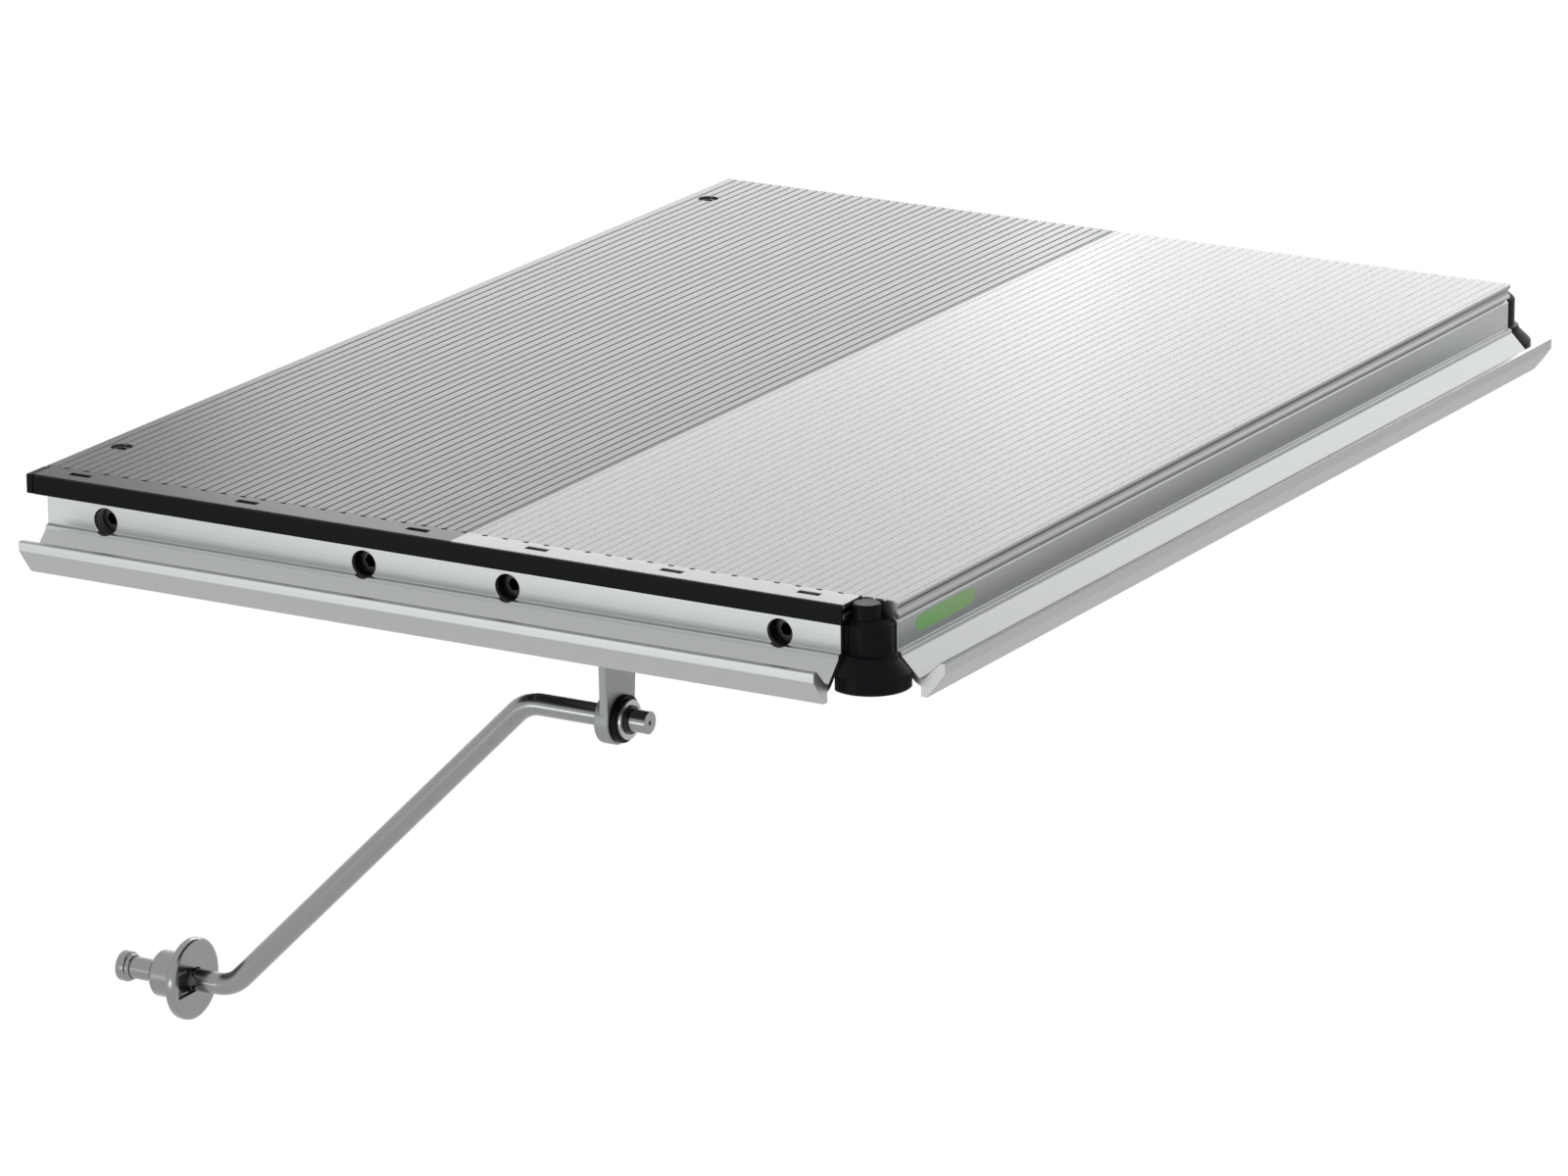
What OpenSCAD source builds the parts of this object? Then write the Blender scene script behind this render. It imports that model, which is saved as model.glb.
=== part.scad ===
// Side extension table for a benchtop saw: two ribbed aluminium panels side by side,
// a grooved clamping rail on three sides, and a swinging support strut underneath.
// The origin is the middle of the left top edge, where the table meets the machine.
// +X leads away from the machine, +Y along the joining edge, +Z is up. Sizes are in mm.

/* [Table top] */
// Width of the top, from the joining edge to the outer edge
table_w = 500; // [440:5:600]
// Length of the panels along the joining edge
panel_l = 690; // [600:5:800]
// Distance of the joint between the two panels from the joining edge
split_x = 254; // [240:1:262]
// Gap that the two panels keep at their joint
joint_gap = 0.1; // [0.05:0.05:0.3]
// Chamfer on both sides of the joint, seen as a fine line on the top
joint_chamfer = 0.7; // [0.3:0.1:1.2]

/* [Panel extrusion] */
// Thickness of the deck
deck_t = 3.2; // [2.6:0.1:4]
// Spacing of the fine lengthwise grooves on the top
rib_pitch = 6; // [5:0.5:8]
// Width of one fine groove
rib_groove_w = 1.3; // [0.8:0.1:2]
// Depth of one fine groove
rib_groove_d = 0.5; // [0.3:0.1:0.8]
// Thickness of the solid joining edge and of the outer edge
edge_h = 8; // [7.5:0.5:9]
// Width of the solid joining edge
edge_w = 24; // [22:1:26]
// Depth of the webs below the top
web_h = 30; // [28:0.5:32]
// Thickness of one web
web_t = 3; // [2.4:0.1:3.5]
// Width of the foot under a web
foot_w = 12; // [9:1:15]
// Radius of the hollow along the outer edge
cove_r = 2.6; // [2:0.1:3]
// Distance of the first screw port from the joining edge
port_x_a = 46.5; // [42:0.5:52]
// Distance between the two screw ports of the inner panel
port_pitch = 156; // [145:1:160]
// Distance of the outer panel's first screw port from the joint
port_x_b = 33; // [33:0.5:36]
// Distance of the outer panel's last screw port from the outer web
port_out = 34.5; // [30:0.5:45]
// Depth of the screw ports below the top
port_z = 19.5; // [18.5:0.5:20]
// Outer radius of a screw port
port_r = 7; // [6.5:0.1:7.5]
// Width of the slit along the underside of a screw port
port_slit = 3.4; // [2.5:0.1:4]
// Width of the slot that takes the nuts of the strut bracket
tslot_w = 8.6; // [8.4:0.1:9.2]
// Inner width of the channel behind that slot
tslot_inner = 17.8; // [17:0.1:18.6]
// Height of the joint's tongue
tongue_h = 4; // [3:0.5:5]
// Reach of the joint's tongue
tongue_w = 3; // [2:0.5:3.5]

/* [Rails] */
// Depth of a rail's box section
rail_depth = 17.5; // [16:0.5:20]
// Wall thickness of a rail
rail_wall = 2.8; // [2.4:0.1:3.2]
// Height of a rail's box section
rail_box_h = 22.6; // [22:0.2:24]
// Chamfer along a rail's top outer edge
rail_chamfer = 2.4; // [1.6:0.1:2.6]
// Height of the chamfer
rail_chamfer_h = 2.6; // [2:0.1:2.8]
// Height of the upright face, from the rail's top to the ledge
rail_face_h = 17; // [16.4:0.2:18]
// Width of the ledge under the upright face
ledge_w = 2.6; // [2:0.1:3]
// Height of the ledge
ledge_h = 2.6; // [2:0.1:3]
// Depth of the clamping groove, whose sides slope at 45 degrees
groove_deep = 9.6; // [8.6:0.1:10.4]
// Width of the flat at the bottom of the clamping groove
groove_floor = 2; // [1:0.1:3]
// Rise of the lip from the groove's bottom to its tip
lip_rise = 9.2; // [8.4:0.1:10]
// Width of the lip's tip
lip_tip_w = 3.2; // [2.6:0.1:4]
// Height of the lip's upright tip face
lip_tip_h = 5.2; // [4.4:0.1:6]
// Height of the whole rail, from its top to the foot of the lip
rail_h = 38.5; // [37.5:0.5:40]
// Width of the foot of the lip
lip_foot_w = 3.4; // [2.8:0.1:4]
// Distance of the outer rail's face behind the outer edge of the top
rail_setback = 1; // [0.5:0.5:2]
// Distance of the front and rear rails' ends from the joining edge
rail_start = 10.8; // [8:0.2:12]
// Gap between a rail and the web or corner piece beside it
rail_gap = 0.2; // [0.1:0.05:0.3]
// Diameter of the access holes in the front rail's face
access_d = 14; // [13.4:0.1:14]

/* [Front bar and strip] */
// Wall thickness of the bar on top of the front rail
bar_wall = 2.5; // [2.2:0.1:2.7]
// Length of one clip slot in the bar
slot_l = 12.5; // [10:0.5:14]
// Width of one clip slot in the bar
slot_w = 4.4; // [3.6:0.2:5]
// Distance of the clip slots from the panels' ends
slot_y = 8.4; // [7.8:0.2:9]
// Distance of the first clip slot from the joining edge
slot_first = 25.3; // [20:0.5:30]
// Spacing of the clip slots on the inner half
slot_pitch_a = 102; // [95:1:104]
// Distance of the first clip slot on the outer half from the joint
slot_start_b = 45; // [40:1:48]
// Distance of the last clip slot from the bar's right end
slot_end = 24.3; // [20:0.1:30]
// Thickness of the black edge strip
strip_t = 1.5; // [1:0.1:2]
// Height of the black edge strip
strip_h = 10; // [9.4:0.1:10.2]
// Distance of the strip's upper edge below the top
strip_drop = 0.4; // [0.2:0.1:0.8]
// Length of the end cap on the bar
cap_l = 3; // [2:0.5:4]
// Overhang of the end cap past the joining edge
cap_over = 1; // [0:0.5:2]
// Length of the end cap's plug inside the bar
cap_plug_l = 8; // [4:1:12]

/* [Corner pieces] */
// Radius of the corner pieces' round column
corner_r = 11.8; // [11:0.1:13]
// Radius of the flared skirt
skirt_r = 21; // [19:0.5:23]
// Height of the skirt's upright rim
rim_h = 8.4; // [6:0.2:9]
// Wall thickness of the skirt
skirt_wall = 2.6; // [2:0.1:3]
// Diameter of the knob at the end of the strip
knob_d = 14.2; // [12:0.2:15]
// Rounding of the knob's top edge
knob_round = 1.2; // [0.6:0.1:2]
// Reach of the pegs into the rails
peg_l = 14; // [10:1:20]
// Gap round the pegs
peg_gap = 0.25; // [0.15:0.05:0.4]

/* [Fasteners] */
// Diameter of the rail screws
rail_screw_d = 8; // [7:0.5:8]
// Length of the rail screws under their heads
rail_screw_l = 30; // [20:1:40]
// Distance of the outer bolts from the rail's ends
side_bolt_end = 85; // [60:5:110]
// Diameter of the side rail's bolts
side_bolt_d = 6; // [5:0.5:6]
// Depth of the side rail's bolts below the top
side_bolt_z = 18; // [17:0.5:19]
// Height of the nut bar in the side rail
nut_bar_h = 12; // [10:0.5:13]
// Thickness of the nut bar in the side rail
nut_bar_t = 4; // [3:0.5:5]
// Diameter of the bar screws
bar_screw_d = 4; // [3:0.5:4]
// Radial play of a screw in its hole
screw_play = 0.05; // [0.03:0.01:0.1]
// Radial play of a screw in a clearance hole
hole_play = 0.3; // [0.2:0.05:0.4]

/* [Locating feet] */
// Distance of the two recessed screws from the joining edge
foot_screw_x = 13.5; // [12:0.5:14]
// Distance of the two recessed screws from the panel's ends
foot_screw_end = 46.5; // [40:0.5:60]
// Diameter of the recess for a screw head
recess_d = 11.6; // [11.4:0.1:12]
// Depth of the recess for a screw head
recess_h = 5.5; // [5:0.1:5.8]
// Diameter of the locating feet's screws
foot_screw_d = 6; // [5:0.5:6]
// Length of one locating foot
foot_l = 40; // [30:1:60]
// Reach of the recessed screws below the joining edge
foot_screw_grip = 14; // [12:0.5:15]
// Width of one locating foot
foot_block_w = 18; // [16:0.5:19]
// Play of a locating foot at the bottom of the machine's groove
foot_play = 0.8; // [0.4:0.1:1.5]

/* [Strut bracket] */
// Distance of the strut's pivot from the panels' front ends
pivot_y = 120; // [100:5:200]
// Depth of the strut's pivot below the top
pivot_z = 128.3; // [115:0.1:140]
// Thickness of the bracket's plate
plate_t = 4; // [3:0.5:5]
// Width of the bracket's plate at its top
plate_w = 38; // [34:1:44]
// Height above the pivot at which the plate starts to widen
plate_waist = 36; // [24:1:50]
// Length of the bracket's bearing boss
boss_l = 8.6; // [7:0.1:12]
// Radius of the bracket's bearing boss
boss_r = 14; // [13:0.5:16]
// Thickness of the bracket's base
base_t = 6; // [5:0.5:8]
// Width of the bracket's base
base_w = 26; // [24:1:30]
// Distance of the bracket screws on each side of the pivot
base_screw_y = 30; // [29:1:34]
// Diameter of the bracket screws
base_screw_d = 8; // [6:0.5:8]
// Width of a nut in the panel's channel
nut_w = 16.6; // [15:0.1:16.8]
// Height of a nut in the panel's channel
nut_h = 5; // [4:0.5:7]

/* [Strut] */
// Diameter of the strut's round rod
rod_d = 12; // [10:0.5:12]
// Outer diameter of the pivot bush
bush_d = 16; // [15:0.5:18]
// Radial running play of the bush and of the rod in it
run_play = 0.05; // [0.02:0.01:0.08]
// Length of the rod beyond the bracket's plate
rod_end = 17; // [15:0.5:24]
// Distance of the upper bend from the bracket's plate
bend_x = 57; // [54:0.5:70]
// Height of the sloping stretch, which runs at 45 degrees
strut_drop = 188; // [150:1:200]
// Centre-line radius of the bends
bend_r = 22; // [18:1:30]
// Distance of the flange from the lower bend
flange_x = 23; // [20:0.5:40]
// Diameter of the flange
flange_d = 46; // [38:1:50]
// Thickness of the flange
flange_t = 4; // [3.6:0.2:6]
// Diameter of the plug behind the flange
hub_d = 25.2; // [22:0.2:28]
// Length of the plug behind the flange
hub_l = 20; // [14:0.5:24]
// Width of the slot in the flange's outer face
flange_slot_w = 13; // [12.4:0.1:15]
// Reach of that slot from the rod's axis
flange_slot_l = 17; // [12:0.5:18]
// Depth of that slot
flange_slot_d = 2.4; // [1:0.2:2.8]
// Length of the neck between the plug and its end knob
neck_l = 20.5; // [14:0.5:26]
// Diameter of the end knob
end_knob_d = 16.6; // [15:0.2:18]
// Thickness of the end knob
end_knob_t = 3; // [3:0.2:6]
// Diameter of the pivot's outer washer
washer_d = 21; // [19:0.5:24]
// Thickness of the pivot's outer washer
washer_t = 2.4; // [1.5:0.1:3]
// Outer diameter of the rubber ring
ring_d = 25; // [23:0.5:26]
// Thickness of the rubber ring
ring_t = 3; // [2:0.1:4]
// Gap between the rubber ring and the bearing boss
ring_gap = 0.2; // [0.1:0.05:0.5]
// Thickness of the retaining ring on the rod
snap_t = 1.2; // [1:0.1:1.6]

/* [Hidden] */

// Fineness of round shapes
round_fn = 64;
// Overlap that makes a cut reach clean through a face
eps = 1;

// Panel ends and rail planes
half_l = panel_l / 2;
outer_face_x = table_w - rail_setback;
side_box_x = outer_face_x - rail_depth;
rail_end_x = outer_face_x - corner_r - 9.8;
panel_b_x = split_x + joint_gap;

// Rail outline, as distances out from the upright face and heights from the top
rail_top = -edge_h;
face_foot = rail_top - rail_face_h;
groove_top = face_foot - ledge_h;
groove_bottom = groove_top - groove_deep;
groove_in = ledge_w + groove_deep;
lip_in = groove_in + groove_floor;
tip_in = lip_in + lip_rise;
tip_out = tip_in + lip_tip_w;
tip_top = groove_bottom + lip_rise;
tip_low = tip_top - lip_tip_h;
rail_foot = rail_top - rail_h;
box_foot = rail_top - rail_box_h;
lip_knee = [tip_in - lip_tip_w / 2, tip_low - 6.6];
foot_out = lip_in + 2.2;
foot_in = foot_out - lip_foot_w;
ledge_slope = 0.6;
skin = rail_wall * sqrt(2);

// Chamber inside a rail's box section
chamber_in = -rail_depth + rail_wall;
chamber_out = -rail_wall;
chamber_top = rail_top - rail_wall;
chamber_foot = box_foot + rail_wall;

// Screw ports, clip slots and bolts along the rails
side_web_x = side_box_x - web_t - 1;
knob_x = outer_face_x - corner_r - 1;
bar_x1 = knob_x - knob_d / 2 - 2 * rail_gap;
slot_pitch_b = (bar_x1 - slot_end - split_x - slot_start_b) / 2;
ports_a = [port_x_a, port_x_a + port_pitch];
ports_b = [split_x + port_x_b, side_web_x - port_out];
ports = concat(ports_a, ports_b);
slots = concat(
    [for (i = [0 : 2]) slot_first + i * slot_pitch_a],
    [for (i = [0 : 2]) split_x + slot_start_b + i * slot_pitch_b]);
bar_screw_x = [for (i = [0 : len(slots) - 2]) (slots[i] + slots[i + 1]) / 2];
side_bolt_y = [for (i = [-2 : 2]) i * (half_l - side_bolt_end) / 2];
foot_screw_y = half_l - foot_screw_end;

// Screw heads
rail_head_d = rail_screw_d * 1.625;
rail_head_h = rail_screw_d;
side_head_d = side_bolt_d * 1.9;
side_head_h = side_bolt_d * 0.66;
bar_head_d = bar_screw_d * 1.8;
bar_head_h = bar_screw_d * 0.5;
foot_head_d = recess_d - 0.8;
foot_head_h = recess_h - 1.3;
base_head_d = base_screw_d * 1.75;
base_head_h = base_screw_d * 0.66;

// Webs of the panels
web_low = -web_h;
tslot_x = panel_b_x + web_t + 1 + tslot_inner / 2;
joint_web_t = web_t + 1;
webs_a = [for (k = [1, 2]) ports_a[0] + k * port_pitch / 3];
webs_b = [for (k = [1, 2]) ports_b[0] + k * (ports_b[1] - ports_b[0]) / 3];
tongue_z = -deck_t - 6;
tongue_gap = 0.15;

// Front bar
bar_x0 = cap_l;
knob_y = half_l + knob_d / 2 + 2 * rail_gap;
clip_t = 1.2;
clip_play = 0.3;
cap_play = 0.1;

// Corner column axis, seen from the front right corner
corner_x = outer_face_x - corner_r;
corner_y = half_l + rail_depth - corner_r;
skirt_top = groove_top - (skirt_r - corner_r - ledge_w);
rim_foot = skirt_top - rim_h;

// Strut places
pivot_at_y = -half_l + pivot_y;
plate_x1 = tslot_x + plate_t / 2;
plate_x0 = plate_x1 - plate_t;
boss_x0 = plate_x1 - boss_l;
bend_top_x = plate_x1 - bend_x;
bend_low_x = bend_top_x - strut_drop;
strut_low_z = -pivot_z - strut_drop;
bend_cut = bend_r * tan(22.5);
flange_face_x = bend_low_x - flange_x;
hub_x0 = flange_face_x - flange_t - hub_l;
knob_x0 = hub_x0 - neck_l;
rod_x0 = knob_x0 - end_knob_t * 0.4;
base_l = 2 * (base_screw_y + base_screw_d);
snap_at = ring_gap + ring_t + washer_t;
snap_bore = rod_d - 1;
snap_rim = 3.2;
rod_hole_d = 2.4;

// Colours
alu = [0.74, 0.76, 0.77];
alu_light = [0.82, 0.83, 0.84];
black = [0.06, 0.06, 0.07];
steel = [0.55, 0.56, 0.57];
dark_steel = [0.18, 0.18, 0.19];
cast = [0.62, 0.64, 0.65];

// A section drawn in X and Z, run along Y and centred on the origin
module along_y(length) {
    rotate([90, 0, 0]) linear_extrude(height = length, center = true) children();
}

// A rectangle from one corner to the opposite one
module rect(a, b) {
    translate([min(a[0], b[0]), min(a[1], b[1])])
        square([abs(b[0] - a[0]), abs(b[1] - a[1])]);
}

// A round bar or hole along X, from x0 to x1
module rod_x(d, x0, x1) {
    translate([x0, 0, 0]) rotate([0, 90, 0]) cylinder(d = d, h = x1 - x0, $fn = round_fn);
}

// A round bar or hole along Y, from y0 to y1
module rod_y(d, y0, y1) {
    translate([0, y0, 0]) rotate([-90, 0, 0]) cylinder(d = d, h = y1 - y0, $fn = round_fn);
}

// A web that ends in a flat foot, centred on x
module web(x) {
    rect([x - web_t / 2, -deck_t / 2], [x + web_t / 2, web_low]);
    rect([x - foot_w / 2, web_low], [x + foot_w / 2, web_low + web_t]);
}

// A screw port that hangs from the deck
module port(x) {
    difference() {
        union() {
            rect([x - web_t / 2, -deck_t / 2], [x + web_t / 2, -port_z]);
            translate([x, -port_z]) circle(r = port_r, $fn = round_fn);
        }
        translate([x, -port_z]) circle(d = rail_screw_d, $fn = round_fn);
        rect([x - port_slit / 2, -port_z], [x + port_slit / 2, -port_z - port_r - eps]);
    }
}

// Fine grooves between x0 and x1, on one lattice for both panels
module rib_grooves(x0, x1) {
    for (i = [ceil((x0 + 1.5) / rib_pitch) : floor((x1 - 1.5) / rib_pitch)])
        rect([i * rib_pitch - rib_groove_w / 2, -rib_groove_d],
            [i * rib_pitch + rib_groove_w / 2, eps]);
}

module panel_left_section() {
    edge_web_x = edge_w + web_t;
    socket_h = tongue_h / 2 + tongue_gap;
    difference() {
        union() {
            rect([0, 0], [split_x, -deck_t]);
            rect([0, 0], [edge_w, -edge_h]);
            rect([edge_w - eps, 0], [edge_web_x, -edge_h]);
            rect([edge_w, -deck_t], [edge_web_x, web_low]);
            rect([edge_w, web_low], [edge_w + foot_w, web_low + web_t]);
            for (x = ports_a) port(x);
            for (x = webs_a) web(x);
            rect([split_x - joint_web_t - tongue_w, 0], [split_x, web_low]);
            rect([split_x - foot_w - tongue_w, web_low], [split_x, web_low + web_t]);
        }
        rib_grooves(0, split_x);
        rect([split_x - tongue_w - tongue_gap, tongue_z + socket_h],
            [split_x + eps, tongue_z - socket_h]);
        polygon([[split_x - joint_chamfer, 0], [split_x, -joint_chamfer],
            [split_x + eps, -joint_chamfer], [split_x + eps, eps],
            [split_x - joint_chamfer, eps]]);
    }
}

module panel_left() {
    color(alu) difference() {
        along_y(panel_l) panel_left_section();
        for (s = [-1, 1]) translate([foot_screw_x, s * foot_screw_y, 0]) {
            translate([0, 0, -recess_h]) cylinder(d = recess_d, h = recess_h + eps, $fn = round_fn);
            translate([0, 0, -edge_h - eps])
                cylinder(d = foot_screw_d + 2 * hole_play, h = edge_h + 2 * eps, $fn = round_fn);
        }
    }
}

module panel_right_section() {
    channel_x0 = panel_b_x + joint_web_t;
    channel_x1 = channel_x0 + tslot_inner;
    difference() {
        union() {
            rect([panel_b_x, 0], [table_w, -deck_t]);
            rect([panel_b_x, 0], [channel_x0, web_low]);
            rect([split_x - tongue_w, tongue_z - tongue_h / 2],
                [channel_x0, tongue_z + tongue_h / 2]);
            rect([channel_x1, 0], [channel_x1 + web_t, web_low]);
            rect([channel_x0, web_low], [tslot_x - tslot_w / 2, web_low + web_t]);
            rect([tslot_x + tslot_w / 2, web_low], [channel_x1, web_low + web_t]);
            for (x = ports_b) port(x);
            for (x = webs_b) web(x);
            rect([side_web_x, 0], [side_box_x, web_low]);
            rect([side_web_x - foot_w + web_t, web_low], [side_web_x + eps, web_low + web_t]);
            rect([side_web_x, 0], [table_w, rail_top]);
        }
        rib_grooves(panel_b_x, table_w);
        translate([table_w + cove_r * 0.45, -edge_h * 0.56]) circle(r = cove_r, $fn = round_fn);
        polygon([[panel_b_x + joint_chamfer, 0], [panel_b_x, -joint_chamfer],
            [panel_b_x - eps, -joint_chamfer], [panel_b_x - eps, eps],
            [panel_b_x + joint_chamfer, eps]]);
    }
}

module panel_right() {
    color(alu_light) difference() {
        along_y(panel_l) panel_right_section();
        for (y = side_bolt_y) translate([0, y, -side_bolt_z])
            rod_x(side_bolt_d + 2 * hole_play, side_web_x - eps, side_box_x + eps);
    }
}

// Outline shared by the three rails: the upright face lies at 0, outwards is positive
module rail_section() {
    difference() {
        polygon([
            [-rail_depth, rail_top], [-rail_chamfer, rail_top],
            [0, rail_top - rail_chamfer_h], [0, face_foot],
            [ledge_w - 0.4, face_foot - ledge_slope], [ledge_w, groove_top],
            [groove_in, groove_bottom], [lip_in, groove_bottom],
            [tip_in, tip_top], [tip_out - 0.4, tip_top], [tip_out, tip_top - 0.4],
            [tip_out, tip_low], lip_knee,
            [foot_out, rail_foot], [foot_in, rail_foot],
            [foot_in, groove_bottom - rail_wall * 1.5],
            [groove_in - skin / 2, groove_bottom - rail_wall],
            [box_foot - groove_bottom > 0 ?
                groove_in - skin / 2 - (box_foot - groove_bottom + rail_wall) : 0, box_foot],
            [-rail_depth, box_foot]]);
        rect([chamber_in, chamber_top], [chamber_out, chamber_foot]);
    }
}

// Holes for the screws that hold the front or rear rail to the panels' ports
module rail_screw_holes(length) {
    for (x = ports) translate([0, x, -port_z]) {
        rod_x(access_d, chamber_out - eps, ledge_w + eps);
        rod_x(rail_screw_d + 2 * hole_play, -rail_depth - eps, chamber_in + eps);
    }
}

// The front rail lies along X: its section turned outwards to -Y
module front_rail() {
    length = rail_end_x - rail_gap - rail_start;
    color(alu_light) translate([0, -half_l - rail_depth, 0]) rotate([0, 0, -90])
        difference() {
            translate([0, rail_start + length / 2, 0]) along_y(length) rail_section();
            rail_screw_holes(length);
            for (x = bar_screw_x) translate([-rail_depth / 2, x, chamber_top - eps])
                cylinder(d = bar_screw_d + 2 * screw_play, h = rail_wall + 2 * eps,
                    $fn = round_fn);
        }
}

module rear_rail() {
    length = rail_end_x - rail_gap - rail_start;
    color(alu_light) translate([0, half_l + rail_depth, 0]) mirror([0, 1, 0])
        rotate([0, 0, -90]) difference() {
            translate([0, rail_start + length / 2, 0]) along_y(length) rail_section();
            rail_screw_holes(length);
        }
}

module side_rail() {
    color(alu_light) difference() {
        translate([outer_face_x, 0, 0]) along_y(panel_l) rail_section();
        for (y = side_bolt_y) translate([0, y, -side_bolt_z])
            rod_x(side_bolt_d + 2 * hole_play, side_box_x - eps,
                side_box_x + rail_wall + eps);
    }
}

// Open channel on top of the front rail, closed by the black strip
module front_top_bar() {
    length = bar_x1;
    color(alu_light) translate([0, -half_l - rail_depth, 0]) rotate([0, 0, -90])
        difference() {
            translate([0, length / 2, 0]) along_y(length) difference() {
                rect([-rail_depth, 0], [0, rail_top]);
                rect([-rail_depth + bar_wall, -bar_wall], [eps, rail_top + bar_wall]);
            }
            translate([-rail_depth + bar_wall, -eps, rail_top - eps])
                cube([rail_depth, cap_l + eps, edge_h + 2 * eps]);
            for (x = slots)
                translate([-rail_depth + slot_y - slot_w / 2, x - slot_l / 2, -bar_wall - eps])
                    cube([slot_w, slot_l, bar_wall + 2 * eps]);
            for (x = bar_screw_x) translate([-rail_depth / 2, x, rail_top - eps])
                cylinder(d = bar_screw_d + 2 * hole_play, h = bar_wall + 2 * eps,
                    $fn = round_fn);
        }
}

// Black strip in front of the bar, with a clip in each slot
module edge_strip() {
    length = bar_x1 - cap_l - clip_play;
    clip_l = slot_l - 2 * clip_play;
    clip_w = slot_w - 2 * clip_play;
    clip_out = -rail_depth + slot_y;
    arm_z = -bar_wall - clip_t - cap_play;
    color(black) translate([0, -half_l - rail_depth, 0]) rotate([0, 0, -90]) {
        translate([cap_play, cap_l + clip_play, -strip_drop - strip_h])
            cube([strip_t, length, strip_h]);
        for (x = slots) {
            translate([clip_out - clip_w / 2, x - clip_l / 2, arm_z])
                cube([0.2 - clip_out + clip_w / 2, clip_l, clip_t]);
            translate([clip_out - clip_w / 2, x - clip_l / 2, arm_z])
                cube([clip_w, clip_l, -arm_z - 0.9]);
        }
    }
}

// Cap on the bar's left end, with a plug in the bar's channel
module bar_end_cap() {
    inner = -rail_depth + bar_wall + cap_play;
    plug_h = edge_h - 2 * bar_wall - 2 * cap_play;
    color(black) translate([0, -half_l - rail_depth, 0]) rotate([0, 0, -90]) {
        translate([inner, -cap_over, -strip_drop - strip_h])
            cube([strip_t - inner + cap_play, cap_over + cap_l - cap_play,
                strip_h + strip_drop - cap_play]);
        translate([inner, 0, -bar_wall - cap_play - plug_h])
            cube([-inner - cap_play, cap_l + cap_plug_l, plug_h]);
    }
}

// Column and skirt that carry the rails' outline round a corner
module corner_turning(top) {
    rotate_extrude($fn = 96) difference() {
        polygon([
            [0, top], [corner_r - rail_chamfer, top],
            [corner_r, rail_top - rail_chamfer_h], [corner_r, face_foot],
            [corner_r + ledge_w - 0.4, face_foot - ledge_slope],
            [corner_r + ledge_w, groove_top],
            [skirt_r, skirt_top], [skirt_r, rim_foot + 1],
            [skirt_r - 1, rim_foot], [0, rim_foot]]);
        polygon([
            [0, rim_foot - eps], [skirt_r - skirt_wall, rim_foot - eps],
            [skirt_r - skirt_wall, skirt_top - skirt_wall],
            [corner_r, groove_top - skirt_wall],
            [0, groove_top - skirt_wall]]);
    }
}

// Corner piece: the turning, cut off where the two rails begin, with a peg into each
module corner_piece() {
    cut_x = rail_end_x - corner_x;
    cut_y = half_l - corner_y;
    peg_low = chamber_foot + peg_gap;
    peg_h = chamber_top - chamber_foot - 2 * peg_gap;
    peg_w = chamber_out - chamber_in - 2 * peg_gap;
    translate([corner_x, corner_y, 0]) {
        intersection() {
            corner_turning(rail_top);
            translate([cut_x, cut_y + rail_gap, rim_foot - eps])
                cube([3 * skirt_r, 3 * skirt_r, edge_h - rim_foot]);
        }
        translate([cut_x - peg_l, corner_r - rail_wall - peg_gap - peg_w, peg_low])
            cube([peg_l + corner_r / 2, peg_w, peg_h]);
        translate([corner_r - rail_wall - peg_gap - peg_w, cut_y - peg_l, peg_low])
            cube([peg_w, peg_l + corner_r / 2, peg_h]);
    }
}

module corner_front() {
    color(black) {
        mirror([0, 1, 0]) corner_piece();
        translate([knob_x, -knob_y, 0]) rotate_extrude($fn = 96)
            polygon(concat([[0, rail_top - 1], [knob_d / 2, rail_top - 1]],
                [for (a = [0 : 22.5 : 90])
                    [knob_d / 2 - knob_round * (1 - cos(a)),
                     -strip_drop - knob_round * (1 - sin(a))]],
                [[0, -strip_drop]]));
    }
}

module corner_rear() {
    color(black) corner_piece();
}

// Socket-head screw along Y whose head's seat lies at y = 0, with its shank to +Y
module socket_screw_y(d, length, head_d, head_h) {
    difference() {
        union() {
            rod_y(head_d, -head_h, 0);
            rod_y(d, -eps, length);
        }
        rotate([90, 0, 0]) cylinder(d = d * 0.86, h = head_h + eps, $fn = 6);
    }
}

module front_rail_screws() {
    color(dark_steel) for (x = ports) translate([x, -half_l - rail_wall, -port_z])
        socket_screw_y(rail_screw_d - 2 * screw_play, rail_screw_l, rail_head_d, rail_head_h);
}

module rear_rail_screws() {
    color(dark_steel) mirror([0, 1, 0]) for (x = ports)
        translate([x, -half_l - rail_wall, -port_z])
            socket_screw_y(rail_screw_d - 2 * screw_play, rail_screw_l,
                rail_head_d, rail_head_h);
}

// Hexagon bolts from inside the outer web into the nut bar of the side rail
module side_rail_bolts() {
    reach = side_box_x + rail_wall + nut_bar_t + 2;
    color(steel) for (y = side_bolt_y) translate([0, y, -side_bolt_z]) {
        rod_x(side_bolt_d - 2 * screw_play, side_web_x - eps, reach);
        translate([side_web_x - side_head_h, 0, 0]) rotate([0, 90, 0])
            cylinder(d = side_head_d, h = side_head_h, $fn = 6);
    }
}

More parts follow.
